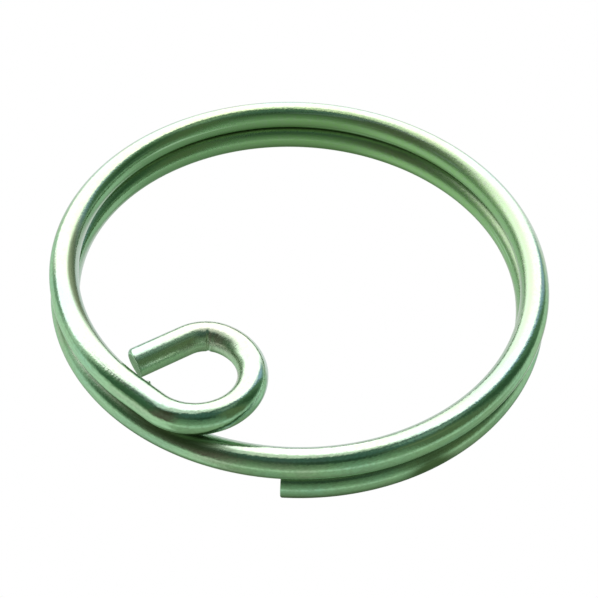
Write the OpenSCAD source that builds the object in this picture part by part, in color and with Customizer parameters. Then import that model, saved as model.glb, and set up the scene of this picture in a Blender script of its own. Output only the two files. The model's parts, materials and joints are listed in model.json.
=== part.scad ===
// Split key ring with an eye: one round steel wire, wound two turns like a
// flat coil spring. Its lower end is cut square at the front, and its upper
// end is bent inward into an open teardrop eye that a finger can lift.
//
// The wire is drawn as stretches that lie end to end, because it flexes: each
// stretch of the coil twists a little against the next when the turns are
// pulled apart. Units are millimetres, +Z is up, and the origin is on the
// coil's axis, level with the lowest point of the wire.

/* [Wire] */
// Diameter of the round wire
wire_d = 1.6; // [1.2:0.1:2]

/* [Coil] */
// Inside diameter of the coil
coil_inner_d = 25; // [22:0.5:32]
// Air between one turn and the next at rest
turn_gap = 0.04; // [0.02:0.01:0.1]
// Direction of the cut lower end, seen from above
cut_end_angle = -92.5; // [-120:0.5:-60]
// Air at each cut between two stretches of the coil
cut_gap = 0.04; // [0.02:0.01:0.1]

/* [Lead-in] */
// Bend radius where the upper turn closes in towards the eye
lead_r = 13.2; // [12.8:0.1:13.3]
// Sweep of the stiff end of that bend, after the last stretch that flexes
lead_end_sweep = 35.5; // [30:0.5:40]
// Length of the straight neck before the eye
neck_length = 1.75; // [1:0.05:2.5]

/* [Eye] */
// Bend radius of the eye's round end
eye_r = 2.9; // [2.6:0.1:3.2]
// Sweep of the eye's round end
eye_sweep = 195; // [180:1:200]
// Bend radius of the corner where the eye turns into its straight tip
corner_r = 1.95; // [1.6:0.05:2.2]
// Sweep of that corner
corner_sweep = 60; // [50:1:64]
// Length of the straight tip
tip_length = 3.1; // [2:0.1:3.4]
// Tilt of the eye about the wire that leads into it
eye_bank = -2.6; // [-3:0.1:1]

/* [Hidden] */

// Bend radius of the coil, to the middle of the wire
coil_r = (coil_inner_d + wire_d) / 2;
// Height that the coil climbs in one turn
pitch = wire_d + turn_gap;
// Slope of the climbing wire
climb_angle = atan(pitch / (2 * PI * coil_r));
// Stretches in the lower turn, and how many in all are bent to the coil's own radius
lower_count = 10;
coil_count = 15;
// Stretches that flex on the closing bend before its stiff end
lead_count = 3;
stretch_sweep = 360 / lower_count;
// The round end of the eye is cut into equal stretches
eye_count = 4;
// Sides of the drawn wire, and of a full circle of each bend
wire_sides = 48;
bend_sides = 360;

// Direction and height of the wire's middle where the closing bend starts
coil_end_angle = cut_end_angle + coil_count * stretch_sweep;
coil_end_z = wire_d / 2 + pitch * coil_count * stretch_sweep / 360;
// Sweep of the closing bend, and its climb for each degree
lead_sweep = lead_count * stretch_sweep + lead_end_sweep;
lead_climb = 2 * PI * lead_r / 360 * tan(climb_angle);

steel = "#b9c7ba";
lower_steel = "#a9b9ab";

// A stretch of wire bent to radius r, centred on the +X axis and sloped to climb
module climbing_arc(r, sweep, gap) {
    drawn = sweep - gap / r * 180 / PI;
    rotate([climb_angle, 0, 0])
        rotate([0, 0, -drawn / 2])
            flat_arc_about_origin(r, drawn);
}

// A stretch of wire bent to radius r about the Z axis, starting on +X
module flat_arc_about_origin(r, sweep) {
    rotate_extrude(angle = sweep, $fn = bend_sides)
        translate([r, 0])
            circle(d = wire_d, $fn = wire_sides);
}

// A bend that starts at the origin, heads along +Y and turns to the left
module bend(r, sweep) {
    translate([-r, 0, 0])
        flat_arc_about_origin(r, sweep);
}

// Places its children at the far end of such a bend
module after_bend(r, sweep) {
    translate([-r, 0, 0])
        rotate([0, 0, sweep])
            translate([r, 0, 0])
                children();
}

// Stretch of the coil by its number, counted from the cut lower end
module coil_stretch(index) {
    middle = (index + 0.5) * stretch_sweep;
    translate([0, 0, wire_d / 2 + pitch * middle / 360])
        rotate([0, 0, cut_end_angle + middle])
            climbing_arc(coil_r, stretch_sweep, cut_gap);
}

// Places its children on the axis of the closing bend's own, tighter circle
module on_lead_axis() {
    rotate([0, 0, coil_end_angle])
        translate([coil_r - lead_r, 0, coil_end_z])
            children();
}

// Stretch of the closing bend, from its start and its sweep in degrees
module lead_stretch(start, sweep) {
    middle = start + sweep / 2;
    on_lead_axis()
        translate([0, 0, lead_climb * middle])
            rotate([0, 0, middle])
                climbing_arc(lead_r, sweep, cut_gap);
}

// Places its children at the end of the closing bend, with +Y along the wire
module at_lead_end() {
    on_lead_axis()
        rotate([0, 0, lead_sweep])
            translate([lead_r, 0, lead_climb * lead_sweep])
                rotate([climb_angle, 0, 0])
                    children();
}

// Places its children where the eye starts, in the tilted plane of the eye
module at_eye() {
    at_lead_end()
        translate([0, neck_length, 0])
            rotate([0, eye_bank, 0])
                children();
}

// Stretch of the eye's round end by its number
module eye_stretch(index) {
    sweep = eye_sweep / eye_count;
    at_eye()
        after_bend(eye_r, index * sweep)
            bend(eye_r, sweep);
}

module eye_corner() {
    color(steel)
        at_eye()
            after_bend(eye_r, eye_sweep)
                bend(corner_r, corner_sweep);
}

module eye_tip() {
    color(steel)
        at_eye()
            after_bend(eye_r, eye_sweep)
                after_bend(corner_r, corner_sweep)
                    rotate([-90, 0, 0])
                        cylinder(h = tip_length, d = wire_d, $fn = wire_sides);
}

module lower_turn(number) {
    color(lower_steel)
        coil_stretch(number - 1);
}

module upper_turn(number) {
    index = lower_count + number - 1;
    color(steel)
        if (index < coil_count)
            coil_stretch(index);
        else
            lead_stretch((index - coil_count) * stretch_sweep, stretch_sweep);
}

module eye_lead_in() {
    color(steel)
        lead_stretch(lead_count * stretch_sweep, lead_end_sweep);
}

// Starts half a gap early, where the drawn end of the closing bend is
module eye_neck() {
    color(steel)
        at_lead_end()
            translate([0, -cut_gap / 2, 0])
                rotate([-90, 0, 0])
                    cylinder(h = neck_length + cut_gap / 2, d = wire_d, $fn = wire_sides);
}

module eye_bend(number) {
    color(steel)
        eye_stretch(number - 1);
}

lower_turn(1);  // lower_turn_01
lower_turn(2);  // lower_turn_02
lower_turn(3);  // lower_turn_03
lower_turn(4);  // lower_turn_04
lower_turn(5);  // lower_turn_05
lower_turn(6);  // lower_turn_06
lower_turn(7);  // lower_turn_07
lower_turn(8);  // lower_turn_08
lower_turn(9);  // lower_turn_09
lower_turn(10);  // lower_turn_10
upper_turn(1);  // upper_turn_01
upper_turn(2);  // upper_turn_02
upper_turn(3);  // upper_turn_03
upper_turn(4);  // upper_turn_04
upper_turn(5);  // upper_turn_05
upper_turn(6);  // upper_turn_06
upper_turn(7);  // upper_turn_07
upper_turn(8);  // upper_turn_08
eye_lead_in();
eye_neck();
eye_bend(1);  // eye_bend_1
eye_bend(2);  // eye_bend_2
eye_bend(3);  // eye_bend_3
eye_bend(4);  // eye_bend_4
eye_corner();
eye_tip();
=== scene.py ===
"""Split key ring: one plated steel wire wound about two turns, with a square-cut lower end and an open eye.

The wire is one swept surface. It is cut into pieces halfway along each stretch of the CAD coil, so that each
piece spans one hinge, at its middle.
"""
import json
import math

import bpy
import numpy as np
from mathutils import Matrix, Vector

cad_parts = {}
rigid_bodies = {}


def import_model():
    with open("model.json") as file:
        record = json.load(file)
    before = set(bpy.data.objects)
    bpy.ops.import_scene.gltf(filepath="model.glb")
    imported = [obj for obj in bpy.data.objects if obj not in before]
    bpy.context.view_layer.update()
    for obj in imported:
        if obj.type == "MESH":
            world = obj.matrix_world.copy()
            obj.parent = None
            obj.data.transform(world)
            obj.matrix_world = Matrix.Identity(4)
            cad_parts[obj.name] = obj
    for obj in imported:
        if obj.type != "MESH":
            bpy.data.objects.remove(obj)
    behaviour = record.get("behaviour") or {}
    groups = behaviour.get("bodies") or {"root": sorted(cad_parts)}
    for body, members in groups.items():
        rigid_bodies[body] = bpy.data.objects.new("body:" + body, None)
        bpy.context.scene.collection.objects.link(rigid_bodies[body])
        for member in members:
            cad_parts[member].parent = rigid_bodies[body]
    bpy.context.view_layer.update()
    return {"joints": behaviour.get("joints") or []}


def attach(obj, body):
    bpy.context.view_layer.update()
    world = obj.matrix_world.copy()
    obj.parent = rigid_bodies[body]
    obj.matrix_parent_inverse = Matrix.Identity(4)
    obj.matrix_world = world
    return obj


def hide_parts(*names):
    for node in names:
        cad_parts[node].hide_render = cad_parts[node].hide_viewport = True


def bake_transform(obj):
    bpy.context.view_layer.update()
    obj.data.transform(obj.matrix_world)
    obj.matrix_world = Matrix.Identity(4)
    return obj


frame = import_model()

# ---------------------------------------------------------------- driving dimensions

MM = 0.001
WIRE_R = 0.8 * MM
COIL_COUNT = 15
LEAD_COUNT = 3
LEAD_R = 13.2 * MM
LEAD_END_SWEEP = math.radians(35.5)
NECK_LENGTH = 1.75 * MM
EYE_R = 2.9 * MM
EYE_SWEEP = math.radians(195)
CORNER_R = 1.95 * MM
CORNER_SWEEP = math.radians(60)
TIP_LENGTH = 3.1 * MM
EYE_BANK = math.radians(-2.6)

# Points round the wire, and the longest step from one ring of points to the next
SIDES = 64
COIL_RING_STEP = 0.2 * MM
EYE_RING_STEP = 0.07 * MM

LOWER = [f"lower_turn_{i:02d}" for i in range(1, 11)]
UPPER = [f"upper_turn_{i:02d}" for i in range(1, 9)]
EYE_NODES = ["eye_lead_in", "eye_neck", "eye_bend_1", "eye_bend_2",
             "eye_bend_3", "eye_bend_4", "eye_corner", "eye_tip"]
BODIES = LOWER + UPPER + ["eye"]

# The coil's radius, slope and start come from the frame's own hinges, which sit on the wire at each cut.
hinges = {frozenset((j["parent"], j["child"])): j for j in frame["joints"]}
cuts = [Vector(hinges[frozenset(pair)]["pos_m"]) for pair in zip(BODIES, BODIES[1:])]
COIL_R = math.hypot(cuts[0].x, cuts[0].y)
RISE = cuts[1].z - cuts[0].z
STRETCH_SWEEP = 2 * math.pi / len(LOWER)
SLOPE = math.atan(RISE / (COIL_R * STRETCH_SWEEP))
START_ANGLE = math.atan2(cuts[0].y, cuts[0].x) - STRETCH_SWEEP
START_Z = cuts[0].z - RISE

# ---------------------------------------------------------------- the wire's centreline


def helix(centre, radius, angle, z, along):
    """Point and axes (outward, forward, up) at a distance along a climbing bend."""
    turned = angle + along * math.cos(SLOPE) / radius
    out = np.array([math.cos(turned), math.sin(turned), 0.0])
    level = np.array([-out[1], out[0], 0.0])
    forward = level * math.cos(SLOPE) + np.array([0, 0, math.sin(SLOPE)])
    point = centre + out * radius + np.array([0, 0, z + along * math.sin(SLOPE)])
    return point, np.stack([out, forward, np.cross(out, forward)], 1)


def turned_about(axes, column, angle):
    """The axes turned about one of themselves."""
    spin = Matrix.Rotation(angle, 3, Vector(axes[:, column]))
    return np.array(spin) @ axes


def flat_bend(point, axes, radius, along):
    """Point and axes at a distance along a bend that turns to the left in the plane of out and forward."""
    centre = point - axes[:, 0] * radius
    moved = turned_about(axes, 2, along / radius)
    return centre + moved[:, 0] * radius, moved


def centreline():
    """The wire as (name, length, function of the distance along it), one entry for each kind of bend."""
    origin = np.zeros(3)
    coil_sweep = STRETCH_SWEEP * COIL_COUNT
    coil_length = COIL_R * coil_sweep / math.cos(SLOPE)
    lead_angle = START_ANGLE + coil_sweep
    lead_centre = np.array([math.cos(lead_angle), math.sin(lead_angle), 0.0]) * (COIL_R - LEAD_R)
    lead_z = START_Z + coil_length * math.sin(SLOPE)
    lead_length = LEAD_R * (STRETCH_SWEEP * LEAD_COUNT + LEAD_END_SWEEP) / math.cos(SLOPE)
    neck_point, neck_axes = helix(lead_centre, LEAD_R, lead_angle, lead_z, lead_length)
    eye_point, eye_axes = neck_point + neck_axes[:, 1] * NECK_LENGTH, turned_about(neck_axes, 1, EYE_BANK)
    corner_point, corner_axes = flat_bend(eye_point, eye_axes, EYE_R, EYE_R * EYE_SWEEP)
    tip_point, tip_axes = flat_bend(corner_point, corner_axes, CORNER_R, CORNER_R * CORNER_SWEEP)

    def neck(s):
        bank = EYE_BANK * s / NECK_LENGTH
        return neck_point + neck_axes[:, 1] * s, turned_about(neck_axes, 1, bank)

    return [
        ("coil", coil_length, lambda s: helix(origin, COIL_R, START_ANGLE, START_Z, s)),
        ("lead", lead_length, lambda s: helix(lead_centre, LEAD_R, lead_angle, lead_z, s)),
        ("neck", NECK_LENGTH, neck),
        ("eye", EYE_R * EYE_SWEEP, lambda s: flat_bend(eye_point, eye_axes, EYE_R, s)),
        ("corner", CORNER_R * CORNER_SWEEP, lambda s: flat_bend(corner_point, corner_axes, CORNER_R, s)),
        ("tip", TIP_LENGTH, lambda s: (tip_point + tip_axes[:, 1] * s, tip_axes)),
    ]


ROUTE = centreline()
LENGTH = {name: length for name, length, _ in ROUTE}
START = {name: sum(LENGTH[other] for other in list(LENGTH)[:i]) for i, name in enumerate(LENGTH)}
WIRE_LENGTH = sum(LENGTH.values())
STRETCH_ENDS = [k * LENGTH["coil"] / COIL_COUNT for k in range(COIL_COUNT + 1)]
STRETCH_ENDS += [START["lead"] + k * LEAD_R * STRETCH_SWEEP / math.cos(SLOPE)
                 for k in range(1, LEAD_COUNT + 1)]
ONE_TURN = COIL_R * 2 * math.pi / math.cos(SLOPE)


def wire_at(s):
    """Point and axes at a distance s from the cut lower end."""
    for _, length, bend in ROUTE[:-1]:
        if s <= length:
            return bend(s)
        s -= length
    return ROUTE[-1][2](s)


# ---------------------------------------------------------------- the wire's surface

# The cut ends: the length that their shape takes up, its rows of points, and the slant of the tip's face
CUT_ZONE = 0.8 * MM
ZONE_ROWS = 8
BEVEL_ROWS = 6
FACE_ROWS = 9
TIP_SLANT = 0.13
TIP_SLANT_SIDE = math.radians(110)
# The rolled edge of each cut: its least radius, how much more it has on one side, that side, and the spread
CUT_EDGE = (0.04 * MM, 0.06 * MM, math.radians(-50), 0.8)
TIP_EDGE = (0.045 * MM, 0.20 * MM, math.radians(40), 0.9)
# Low ridges on the cut faces
RIDGE_COUNT = 9
RIDGE_HEIGHT = 0.006 * MM

# A crease across the inner side of the eye's corner, and a small nub near the start of the eye's neck.
# A side is an angle round the wire, where 0 is outward and 90 degrees is up. A spread is in radians.
CREASE = START["corner"] + 0.75 * MM
CREASE_DEPTH = 0.12 * MM
CREASE_WIDTH = 0.11 * MM
CREASE_SPREAD = 0.9
NUB = START["neck"] + 0.6 * MM
NUB_HEIGHT = 0.10 * MM
NUB_WIDTH = 0.09 * MM
NUB_SIDE = math.radians(150)
NUB_SPREAD = 0.16

# The wire is very slightly three-sided from drawing, and that shape turns one radian in this length
DRAWN_HEIGHT = 0.0012 * MM
DRAWN_TURN = 21 * MM


def bump(value, centre, width):
    """1 at the centre, falling smoothly to 0 about two widths away on each side."""
    return np.exp(-((value - centre) / width) ** 2)


def around(angle, centre, width):
    """The same on an angle, the short way round."""
    return np.exp(-(((angle - centre + math.pi) % (2 * math.pi) - math.pi) / width) ** 2)


def fade(value, start, end):
    """1 up to start, falling smoothly to 0 at end."""
    share = np.clip((end - value) / (end - start), 0, 1)
    return share * share * (3 - 2 * share)


def swell(s, angle):
    """How far the surface stands out from a true round wire."""
    crease = -CREASE_DEPTH * bump(s, CREASE, CREASE_WIDTH) * around(angle, math.pi, CREASE_SPREAD)
    nub = NUB_HEIGHT * bump(s, NUB, NUB_WIDTH) * around(angle, NUB_SIDE, NUB_SPREAD)
    drawn = DRAWN_HEIGHT * np.sin(3 * angle + 0.9 + s / DRAWN_TURN)
    return crease + nub + drawn


# ---------------------------------------------------------------- painted shade, reflections and highlight on the plating

# Little of this is wear. The darkening deep in the groove between the turns is painted shade with some grime,
# and the darkening on the coil's inner side and on the side the ring rests on is painted shade. The tints inside
# on the left and at the back, under the eye and near the cut end are painted reflections and shadow: they stand
# in for things close to the ring that the steel mirrors, which the distant studio can't give. The brighter line
# at the back is a painted highlight.

# Where the painted shade and grime in the groove start to thin out before the eye, and the place on the lower
# turn just below
THINNING = START["neck"] - 6 * MM
BELOW_THINNING = THINNING - ONE_TURN
# How far round the wire the painted shade and grime in the groove spread, in radians
GROOVE_SPREAD = 0.7
# Single spots of painted shadow and dark reflection: how strong, the side of the wire, the spread, the place
# along the wire, and the length
PAINTED_DARK_SPOTS = [
    (1.2, math.radians(75), 0.7, BELOW_THINNING + 9.2 * MM, 3 * MM),    # on the lower turn, under the eye
    (0.7, 0.2, 0.6, 7.6 * MM, 1.1 * MM),                                # outside, near the cut end
    (1.2, math.radians(127), 0.32, 1.79 * ONE_TURN, 0.065 * ONE_TURN),  # inside the upper turn, on the left
]


def shade_and_grime(points):
    """How much painted shade each straightened point takes, from 0 to about 1: painted shade with some grime
    deep in the groove between the turns, painted shade on the side that the ring rests on, and each painted spot
    of shadow and dark reflection."""
    s, angle = points[..., 2], np.arctan2(points[..., 1], points[..., 0])
    top, underside = (around(angle, side, GROOVE_SPREAD) for side in (math.pi / 2, -math.pi / 2))
    lower_turn = fade(s, BELOW_THINNING + 3 * MM, BELOW_THINNING + 9 * MM)
    upper_turn = (s > ONE_TURN) * fade(s, THINNING, THINNING + 5 * MM)
    # Painted shade on the lower turn's side that rests on the floor
    floor_shade = around(angle, math.radians(-60), 1.2) * fade(s, 0.9 * ONE_TURN, ONE_TURN)
    total = top * lower_turn + underside * upper_turn + floor_shade
    # Painted spots of shadow and dark reflection
    for strength, side, spread, place, length in PAINTED_DARK_SPOTS:
        total = total + strength * around(angle, side, spread) * bump(s, place, length)
    return total


def inner_side(points):
    """1 on the coil's inner side, which takes painted shade, and 0 on its outer side and on the eye."""
    inside = 1 - fade(-points[..., 0], 0.15 * MM, 0.6 * MM)
    return inside * fade(points[..., 2], START["neck"] - 4 * MM, START["neck"])


def top_line(points):
    """1 on a line just inside the top of each turn."""
    return around(np.arctan2(points[..., 1], points[..., 0]), math.radians(114), 0.24)


def on_side(points, share):
    """1 on the side of the ring that lies this share of a turn from the cut end, and 0 opposite it."""
    return 0.5 + 0.5 * np.cos(2 * math.pi * (points[..., 2] / ONE_TURN - share))


def painted_highlight(points):
    """Where a painted highlight makes the plating brighter: the line inside the top of each turn, at the back.
    """
    return top_line(points) * on_side(points, 0.56) ** 4


def yellow_shade(points):
    """Where a painted reflection makes the plating darker and a little yellower: the coil's inner side at the
    right of its back, and the rest of the line inside the top of each turn."""
    back = on_side(points, 0.42)
    whole = np.maximum(inner_side(points) * back ** 2, 0.8 * top_line(points) * back)
    return whole * (1 - painted_highlight(points))


# What the material reads at each point of the wire
MEASURES = {"shade_and_grime": shade_and_grime, "inner_side": inner_side, "yellow_shade": yellow_shade, "painted_highlight": painted_highlight}

# ---------------------------------------------------------------- the wire's mesh


def rolled_edge(at_tip, angle):
    """The radius of the cut's edge at an angle round the wire: the cutter drags one side of it over."""
    least, more, side, spread = TIP_EDGE if at_tip else CUT_EDGE
    return least + more * around(angle, side, spread)


def end_rows():
    """The rows of a cut end, from the wire's side to the middle of its face: how far through the zone before
    the edge, through the edge's rounding, and through the face."""
    rows = [(k / ZONE_ROWS, 0.0, 0.0) for k in range(ZONE_ROWS + 1)]
    rows += [(1.0, k / BEVEL_ROWS, 0.0) for k in range(1, BEVEL_ROWS + 1)]
    rows += [(1.0, 1.0, k / FACE_ROWS) for k in range(1, FACE_ROWS + 1)]
    return rows


def end_ring(at_tip, zone, edge, face, angle):
    """Radius of a row of a cut end, and its distance back from the end, both at each angle."""
    roll = rolled_edge(at_tip, angle)
    turn = edge * math.pi / 2
    side = WIRE_R + swell(WIRE_LENGTH - CUT_ZONE if at_tip else CUT_ZONE, angle)
    radius = (side - roll * (1 - math.cos(turn))) * (1 - face)
    ridges = RIDGE_HEIGHT * face * np.sin(RIDGE_COUNT * angle + 2) * (1 - face)
    slant = -TIP_SLANT * radius * np.cos(angle - TIP_SLANT_SIDE) if at_tip else 0.0
    back = slant + ridges + roll * (1 - math.sin(turn))
    return radius, CUT_ZONE + (back - CUT_ZONE) * zone


def stations():
    """Distances along the wire of its plain rows, between the cut zones, and of each stretch's middle."""
    middles = [(a + b) / 2 for a, b in zip(STRETCH_ENDS, STRETCH_ENDS[1:])]
    middles.append((STRETCH_ENDS[-1] + START["neck"]) / 2)
    bends = [START[name] for name in ("neck", "eye", "corner")]
    stops = sorted([CUT_ZONE, WIRE_LENGTH - CUT_ZONE] + middles + bends)
    rows = []
    for a, b in zip(stops, stops[1:]):
        step = COIL_RING_STEP if b <= START["neck"] else EYE_RING_STEP
        rows += list(np.linspace(a, b, math.ceil((b - a) / step), endpoint=False))
    return rows[1:], middles


def wire_surface():
    """Rings of points along the whole wire, the same points straightened out, and each ring's distance along
    it. A straightened point is (outward, up, along the wire)."""
    angles = np.arange(SIDES) * 2 * math.pi / SIDES
    start_rows = [end_ring(False, *row, angles) for row in reversed(end_rows())]
    tip_rows = [end_ring(True, *row, angles) for row in end_rows()]
    rings = start_rows + [(WIRE_R + swell(s, angles), np.full(SIDES, s)) for s in stations()[0]]
    rings += [(radius, WIRE_LENGTH - back) for radius, back in tip_rows]
    points, straight = [], []
    for radius, reach in rings:
        x, y = radius * np.cos(angles), radius * np.sin(angles)
        straight.append(np.column_stack([x, y, reach]))
        frames = [wire_at(max(s, 0.0)) for s in reach]
        points.append([centre + axes[:, 0] * a + axes[:, 2] * b
                       for (centre, axes), a, b in zip(frames, x, y)])
    points, straight = np.array(points), np.array(straight)
    return points, straight, straight[:, :, 2].mean(axis=1)


def surface_normals(points):
    """Normals of the whole wire, so that neighbouring pieces shade as one."""
    along_wire = np.gradient(points, axis=0)
    round_wire = np.roll(points, -1, axis=1) - np.roll(points, 1, axis=1)
    normals = np.cross(along_wire, round_wire)
    size = np.linalg.norm(normals, axis=2, keepdims=True)
    normals = np.where(size > 0, normals / np.maximum(size, 1e-20), 0)
    normals[0] = normals[1].mean(axis=0) / np.linalg.norm(normals[1].mean(axis=0))
    normals[-1] = normals[-2].mean(axis=0) / np.linalg.norm(normals[-2].mean(axis=0))
    return normals


POINTS, STRAIGHT, ALONG = wire_surface()
NORMALS = surface_normals(POINTS)
LAST = len(ALONG) - 1


def wire_piece(name, first, last, steel, cut_steel):
    """The rows from first to last as one mesh object. The wire's two outermost rows close to a point."""
    count = last - first + 1
    keep = slice(first, last + 1)
    points, normals, straight = (a[keep].reshape(-1, 3) for a in (POINTS, NORMALS, STRAIGHT))
    number = np.arange(count * SIDES).reshape(count, SIDES)
    for row, place in ((0, 0), (LAST, count - 1)):
        if first <= row <= last:
            number[place] = number[place, 0]
    used, number = np.unique(number, return_inverse=True)
    number = number.reshape(count, SIDES)
    faces, is_cut = [], []
    for row in range(count - 1):
        for side in range(SIDES):
            after = (side + 1) % SIDES
            corners = (number[row, side], number[row + 1, side], number[row + 1, after], number[row, after])
            faces.append(list(dict.fromkeys(int(c) for c in corners)))
            is_cut.append(first + row < FACE_ROWS or first + row >= LAST - FACE_ROWS)
    mesh = bpy.data.meshes.new(name)
    mesh.from_pydata(points[used].tolist(), [], faces)
    place_on_wire = mesh.attributes.new("wire", "FLOAT_VECTOR", "POINT")
    place_on_wire.data.foreach_set("vector", straight[used].astype(np.float32).ravel())
    for label, measure in MEASURES.items():
        attribute = mesh.attributes.new(label, "FLOAT", "POINT")
        attribute.data.foreach_set("value", measure(straight[used]).astype(np.float32))
    mesh.polygons.foreach_set("use_smooth", [True] * len(mesh.polygons))
    mesh.materials.append(steel)
    if any(is_cut):
        mesh.materials.append(cut_steel)
        mesh.polygons.foreach_set("material_index", [int(value) for value in is_cut])
    mesh.update()
    mesh.normals_split_custom_set_from_vertices(normals[used].tolist())
    piece = bpy.data.objects.new(name, mesh)
    bpy.context.scene.collection.objects.link(piece)
    return piece


# ---------------------------------------------------------------- shader helpers


def new_material(name):
    material = bpy.data.materials.new(name)
    material.use_nodes = True
    return material, material.node_tree


def node(tree, kind, inputs=(), **settings):
    """A new node with its settings, and its inputs set to a value or linked to a socket."""
    made = tree.nodes.new(kind)
    for key, value in settings.items():
        setattr(made, key, value)
    for key, value in dict(inputs).items():
        if isinstance(value, bpy.types.NodeSocket):
            tree.links.new(value, made.inputs[key])
        else:
            made.inputs[key].default_value = value
    return made


def stored(tree, name, output="Fac"):
    """What the mesh stores under this name."""
    return node(tree, "ShaderNodeAttribute", attribute_name=name).outputs[output]


def math_node(tree, operation, a, b=0.0):
    return node(tree, "ShaderNodeMath", {0: a, 1: b}, operation=operation).outputs["Value"]


def times(tree, a, b):
    return math_node(tree, "MULTIPLY", a, b)


def plus(tree, a, b):
    return math_node(tree, "ADD", a, b)


def between(tree, value, low, high):
    """Low where the value is 0, and high where it is 1."""
    return node(tree, "ShaderNodeMapRange", {"Value": value, "To Min": low, "To Max": high}).outputs["Result"]


def smooth(tree, value, low, high):
    """0 below low and 1 above high, with a smooth step between them. Low may be the larger one."""
    return node(tree, "ShaderNodeMapRange", {"Value": value, "From Min": low, "From Max": high},
                interpolation_type="SMOOTHSTEP").outputs["Result"]


def noise(tree, where, grains, detail):
    """Noise over the straightened wire, with so many grains for each millimetre outward, up and along."""
    scale = [value / MM for value in grains]
    scaled = node(tree, "ShaderNodeVectorMath", {0: where, 1: scale}, operation="MULTIPLY").outputs[0]
    made = node(tree, "ShaderNodeTexNoise", {"Vector": scaled, "Scale": 1.0, "Detail": detail})
    return made.outputs["Fac"]


def ramp(tree, fac, stops):
    """A colour that changes along the stops, each a (position, colour)."""
    made = node(tree, "ShaderNodeValToRGB", {"Fac": fac})
    elements = made.color_ramp.elements
    while len(elements) < len(stops):
        elements.new(0.5)
    for element, (position, colour) in zip(elements, stops):
        element.position = position
        element.color = (*colour, 1.0)
    return made.outputs["Color"]


def tint(tree, share, colour, other):
    """The colour moved towards another one by a share."""
    inputs = {"Fac": share, "Color1": colour, "Color2": (*other, 1)}
    return node(tree, "ShaderNodeMixRGB", inputs).outputs["Color"]


def rough_surface(tree, shader, heights):
    """Bumps one on another on the shader: (height, strength, distance)."""
    normal = None
    for height, strength, distance in heights:
        inputs = {"Strength": strength, "Distance": distance, "Height": height}
        if normal:
            inputs["Normal"] = normal
        normal = node(tree, "ShaderNodeBump", inputs).outputs["Normal"]
    tree.links.new(normal, shader.inputs["Normal"])


# ---------------------------------------------------------------- materials

PLATING = [(0.30, (0.55, 0.74, 0.66)), (0.45, (0.60, 0.76, 0.62)),
           (0.57, (0.62, 0.76, 0.58)), (0.69, (0.69, 0.67, 0.59))]
# Painted shade on the coil's inner side
INNER_SHADE = (0.38, 0.54, 0.42)
# Darker, yellower painted reflection at the back
YELLOW_SHADE = (0.43, 0.59, 0.31)
# Painted highlight line at the back
HIGHLIGHT_LINE_TINT = (0.84, 0.98, 0.58)
PITTED = (0.50, 0.56, 0.46)
STREAKED = (0.74, 0.84, 0.72)
# Painted shade and dark reflections, with some grime in the groove
SHADE_AND_GRIME_TINT = (0.13, 0.17, 0.08)
EDGE_TINT = (0.92, 0.95, 0.92)
SHEARED = [(0.35, (0.22, 0.34, 0.20)), (0.65, (0.44, 0.58, 0.38))]


def plated_wire():
    """Bright plated steel wire: drawing lines, fine grain, pits and uneven tints, and on top painted shade,
    painted reflections and a painted highlight, with some grime in the groove.
    """
    material, tree = new_material("plated_wire")
    shader = tree.nodes["Principled BSDF"]
    where = stored(tree, "wire", "Vector")
    lines = noise(tree, where, (13, 13, 0.30), 3.0)
    grain = noise(tree, where, (12, 12, 10), 3.0)
    pits = noise(tree, where, (7, 7, 5), 4.0)
    clouds = noise(tree, where, (0.8, 0.8, 0.25), 3.0)
    streaks = noise(tree, where, (5, 5, 0.10), 1.0)
    marks = noise(tree, where, (1.2, 1.2, 9), 3.0)
    yellow_shade_share = stored(tree, "yellow_shade")
    # Painted shade and dark reflections, with some grime in the groove, broken up by the drawing lines and
    # weaker where the yellow painted reflection lies
    shade_and_grime_share = smooth(tree, times(tree, stored(tree, "shade_and_grime"), between(tree, lines, 0.7, 1.3)), 0.15, 0.95)
    shade_and_grime_share = times(tree, shade_and_grime_share, between(tree, yellow_shade_share, 1.0, 0.45))

    colour = ramp(tree, clouds, PLATING)
    for share, other in [
        # painted shade on the coil's inner side
        (times(tree, stored(tree, "inner_side"), 0.75), INNER_SHADE),
        # a darker, yellower painted reflection at the back
        (yellow_shade_share, YELLOW_SHADE),
        # a painted highlight line at the back
        (stored(tree, "painted_highlight"), HIGHLIGHT_LINE_TINT),
        (times(tree, smooth(tree, pits, 0.40, 0.66), 0.5), PITTED),
        (smooth(tree, streaks, 0.66, 0.74), STREAKED),
        # painted shade and dark reflections, with some grime in the groove
        (times(tree, shade_and_grime_share, 0.92), SHADE_AND_GRIME_TINT),
    ]:
        colour = tint(tree, share, colour, other)
    tree.links.new(colour, shader.inputs["Base Color"])
    shader.inputs["Metallic"].default_value = 1.0
    shader.inputs["Specular Tint"].default_value = (*EDGE_TINT, 1)

    # The bending tool left cross marks on the eye's inner side
    place = node(tree, "ShaderNodeSeparateXYZ", {"Vector": where})
    inner = smooth(tree, place.outputs["X"], 0.0, -0.7 * MM)
    bent = smooth(tree, place.outputs["Z"], START["neck"], START["corner"])
    scuffed = times(tree, bent, inner)

    rough = plus(tree, between(tree, grain, 0.05, 0.19), times(tree, shade_and_grime_share, 0.30))
    rough = plus(tree, rough, times(tree, yellow_shade_share, 0.26))
    rough = plus(tree, rough, times(tree, scuffed, between(tree, marks, 0.05, 0.30)))
    tree.links.new(rough, shader.inputs["Roughness"])
    rough_surface(tree, shader, [
        (pits, 0.7, 0.010 * MM),
        (lines, 0.4, 0.004 * MM),
        (grain, 0.6, 0.006 * MM),
        (times(tree, marks, scuffed), 0.5, 0.01 * MM),
    ])
    return material


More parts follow.
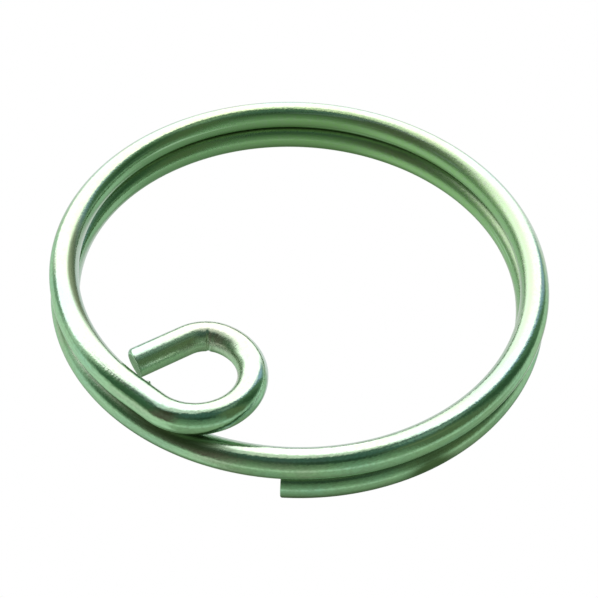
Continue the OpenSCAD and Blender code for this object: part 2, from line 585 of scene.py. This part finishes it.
def sheared_steel():
    """The bare cut faces: duller steel, with the cutter's marks straight across them."""
    material, tree = new_material("sheared_steel")
    shader = tree.nodes["Principled BSDF"]
    where = stored(tree, "wire", "Vector")
    marks = noise(tree, where, (16, 1.5, 0), 3.0)
    torn = noise(tree, where, (7, 7, 7), 3.0)
    tree.links.new(ramp(tree, marks, SHEARED), shader.inputs["Base Color"])
    shader.inputs["Metallic"].default_value = 1.0
    tree.links.new(between(tree, torn, 0.28, 0.55), shader.inputs["Roughness"])
    rough_surface(tree, shader, [(marks, 0.7, 0.015 * MM), (torn, 0.5, 0.01 * MM)])
    return material


# ---------------------------------------------------------------- pieces on their bodies


def row_at(s):
    """The row of points nearest to a distance along the wire."""
    return int(np.argmin(np.abs(ALONG - s)))


def build_wire():
    """The cut end, then one piece across each hinge, then the eye. The piece across a hinge stands for the
    CAD stretch before that hinge, and the pieces together cover the whole wire."""
    materials = (plated_wire(), sheared_steel())
    edges = [0] + [row_at(s) for s in stations()[1]] + [LAST]
    cut_end = wire_piece("cut_end", edges[0], edges[1], *materials)
    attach(cut_end, BODIES[0])
    for i, (body, following) in enumerate(zip(BODIES, BODIES[1:])):
        first, last = edges[i + 1], edges[i + 2]
        piece = wire_piece(f"wire_{i + 1:02d}", first, last, *materials)
        start, end = wire_at(ALONG[first])[0], wire_at(ALONG[last])[0]
        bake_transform(piece)
        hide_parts(body)
    eye = wire_piece("eye", edges[-2], edges[-1], *materials)
    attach(eye, "eye")
    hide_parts(*EYE_NODES)


# ---------------------------------------------------------------- stage

FLOOR_SIZE = 0.8
FLOOR_DROP = 3.4 * MM
WHITE = (1, 1, 1, 1)


def build_floor():
    """A plain white floor that the steel doesn't mirror: the studio holds what it reflects instead. It lies
    lower than the cut end's full drop, so that it hides none of the wire."""
    bpy.ops.mesh.primitive_plane_add(size=FLOOR_SIZE, location=(0, 0, -FLOOR_DROP))
    floor = bpy.context.object
    floor.name = "floor"
    material, tree = new_material("floor")
    tree.nodes.remove(tree.nodes["Principled BSDF"])
    white = node(tree, "ShaderNodeEmission", {"Color": WHITE, "Strength": 1.0})
    tree.links.new(white.outputs[0], tree.nodes["Material Output"].inputs["Surface"])
    floor.data.materials.append(material)
    floor.visible_glossy = False
    floor.visible_diffuse = False


# ---------------------------------------------------------------- light

# The room's colour from straight down (0) to straight up (1). It and the patches were written from measurements
# of what the real steel mirrors, so the walls and shelves named here are only guesses.
ROOM = [(0.02, (0.12, 0.18, 0.10)), (0.14, (0.20, 0.31, 0.19)), (0.26, (0.25, 0.39, 0.24)),
        (0.40, (0.30, 0.46, 0.29)), (0.45, (0.48, 0.70, 0.50)), (0.50, (0.30, 0.47, 0.30)),
        (0.57, (0.19, 0.32, 0.19)), (0.64, (0.15, 0.26, 0.15)), (0.70, (0.11, 0.20, 0.11)),
        (0.79, (0.05, 0.10, 0.06)), (0.86, (0.06, 0.13, 0.10)), (0.93, (0.06, 0.13, 0.10))]
# Soft patches laid over it in turn: colour, then the shape that panel() takes
PATCHES = [
    ((0.05, 0.12, 0.06), (-109, 16, 8, 41, (12, 8, 10))),        # dark green wall on the left
    ((0.50, 0.68, 0.50), (-80, 7, 4, 44, (7, 10, 10))),          # pale wall between it and the window
    ((0.105, 0.11, 0.08), (-134, 18, 4, 50, (18, 8, 14))),       # brown shelf, front left
    ((0.055, 0.06, 0.035), (-124, 18, 44, 68, (18, 14, 10))),    # its dark top
    ((0.11, 0.17, 0.08), (117, 17, 6, 56, (14, 10, 16))),        # olive shelf, front right
    ((0.10, 0.20, 0.11), (66, 14, 4, 60, (14, 12, 16))),         # right wall
    ((0.04, 0.095, 0.045), (84, 14, 12, 52, (16, 12, 18))),      # dark corner on the right
    ((0.03, 0.07, 0.04), (162, 18, 43, 59, (12, 6, 8))),         # black shelf, high in front
    ((0.20, 0.31, 0.23), (86, 22, 59, 74, (14, 6, 8))),          # lighter ceiling on the right
    ((0.46, 0.68, 0.48), (70, 14, -40, 4, (18, 14, 12))),        # floor on the right
    ((0.53, 0.76, 0.56), (-92, 54, -58, -3, (20, 24, 12))),      # light floor on the left
    ((0.92, 0.91, 0.95), (6, 40, -55, 4, (26, 22, 14))),         # bright floor below the window
    ((0.72, 0.83, 0.70), (-30, 66, 58, 90, (30, 10, 8))),        # ceiling above the window
    ((0.34, 0.50, 0.66), (46, 8, 12, 62, (10, 16, 14))),         # cool edge of the window
]
# The window is these overlapping panels, so that its outline is stepped and its edges vary in softness
WINDOW_STRENGTH = 1.8
WINDOWS = [
    (-19, 59, 20, 50, (8, 12, 10)),
    (-10, 54, 34, 59, (14, 12, 12)),
    (-2, 42, 34, 66, (16, 12, 11)),
    (-7, 43, 4, 36, (14, 14, 10)),
]


def panel(tree, direction, height, shape):
    """1 inside a soft-edged patch of the studio's walls and 0 outside it. Its shape is (azimuth, half width,
    lowest, highest, softness of the side, low and high edges), all in degrees: azimuth 0 is behind the ring
    and 90 is on its right."""
    azimuth, half_width, low, high, soft = shape
    a = math.radians(azimuth)
    across = node(tree, "ShaderNodeVectorMath", {0: direction, 1: (math.cos(a), -math.sin(a), 0)},
                  operation="DOT_PRODUCT").outputs["Value"]
    ahead = node(tree, "ShaderNodeVectorMath", {0: direction, 1: (math.sin(a), math.cos(a), 0)},
                 operation="DOT_PRODUCT").outputs["Value"]
    off = math_node(tree, "ABSOLUTE", math_node(tree, "ARCTAN2", across, ahead))
    side, below, above = (math.radians(width / 2) for width in soft)
    half, low, high = (math.radians(value) for value in (half_width, low, high))
    inside = smooth(tree, off, half + side, half - side)
    inside = times(tree, inside, smooth(tree, height, low - below, low + below))
    return times(tree, inside, smooth(tree, height, high + above, high - above))


def build_light():
    """A studio with one wide white window behind the ring, and a soft green room with darker corners
    elsewhere. The camera sees plain white in place of it."""
    world = bpy.data.worlds.new("studio")
    bpy.context.scene.world = world
    world.use_nodes = True
    tree = world.node_tree
    direction = node(tree, "ShaderNodeTexCoord").outputs["Generated"]
    upward = node(tree, "ShaderNodeSeparateXYZ", {"Vector": direction}).outputs["Z"]
    height = math_node(tree, "ARCSINE", upward)
    whole = {"Value": height, "From Min": -math.pi / 2, "From Max": math.pi / 2}
    room = ramp(tree, node(tree, "ShaderNodeMapRange", whole).outputs["Result"], ROOM)
    for colour, shape in PATCHES:
        room = tint(tree, panel(tree, direction, height, shape), room, colour)
    window = 0.0
    for shape in WINDOWS:
        window = math_node(tree, "MAXIMUM", window, panel(tree, direction, height, shape))
    lit = node(tree, "ShaderNodeBackground", {"Strength": 1.0, "Color": room})
    lamps = node(tree, "ShaderNodeBackground", {"Color": WHITE, "Strength": WINDOW_STRENGTH})
    studio = node(tree, "ShaderNodeMixShader", {0: window, 1: lit.outputs[0], 2: lamps.outputs[0]})
    seen = node(tree, "ShaderNodeBackground", {"Color": WHITE, "Strength": 1.0})
    by_camera = node(tree, "ShaderNodeLightPath").outputs["Is Camera Ray"]
    mix = node(tree, "ShaderNodeMixShader", {0: by_camera, 1: studio.outputs[0], 2: seen.outputs[0]})
    tree.links.new(mix.outputs[0], tree.nodes["World Output"].inputs["Surface"])
    bpy.context.scene.view_settings.view_transform = "Standard"


# ---------------------------------------------------------------- camera

CAMERA_DISTANCE = 70.8 * MM
CAMERA_ELEVATION = math.radians(47.0)
CAMERA_ROLL = math.radians(1.97)
CAMERA_AIM = Vector((0.008 * MM, 0.166 * MM, 0.0))
CAMERA_LENS_MM = 72.67


def build_camera():
    data = bpy.data.cameras.new("camera")
    data.lens = CAMERA_LENS_MM
    data.clip_start = 1 * MM
    camera = bpy.data.objects.new("camera", data)
    bpy.context.scene.collection.objects.link(camera)
    place = Vector((0, -math.cos(CAMERA_ELEVATION), math.sin(CAMERA_ELEVATION))) * CAMERA_DISTANCE
    aim = (CAMERA_AIM - place).to_track_quat("-Z", "Y").to_matrix()
    camera.matrix_world = Matrix.Translation(place) @ (aim @ Matrix.Rotation(CAMERA_ROLL, 3, "Z")).to_4x4()
    bpy.context.scene.camera = camera


build_camera()
build_wire()
build_floor()
build_light()
